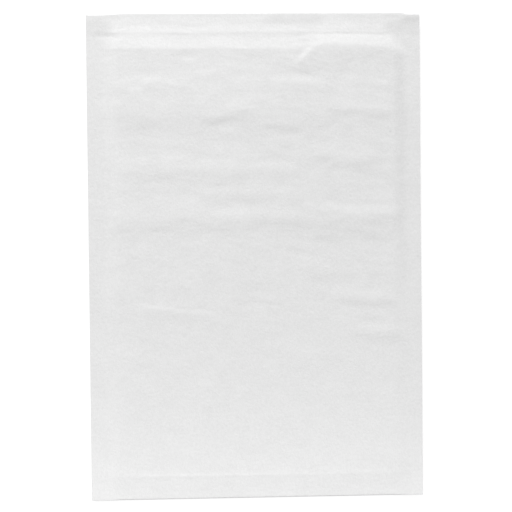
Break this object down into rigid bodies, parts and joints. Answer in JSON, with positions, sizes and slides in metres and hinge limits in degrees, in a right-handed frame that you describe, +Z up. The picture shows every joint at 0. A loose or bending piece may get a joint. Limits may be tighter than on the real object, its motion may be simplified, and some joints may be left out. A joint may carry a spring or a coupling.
{
  "type": "padded envelope",
  "caption": "Flat white paper mailer with pressed side seams, a bubble film lining and a flap folded under its back.",
  "frame": {"origin": "centre of the bounding box in X and Y, on the surface that the envelope lies on", "axes": "+X across the envelope, +Y from the bottom fold to the top fold, +Z up, out of the address side"},
  "size_m": [0.24, 0.35, 0.0072],
  "materials": {
    "white_paper": "smooth matte white kraft paper",
    "bubble_film": "clear soft film, glossy",
    "hot_melt": "tacky pale amber hot melt",
    "release_paper": "thin coated paper with a low sheen"
  },
  "bodies": {
    "root": {"outer_paper": "white_paper", "bubble_liner": "bubble_film", "adhesive_strip": "hot_melt", "release_strip": "release_paper"}
  },
  "joints": []
}
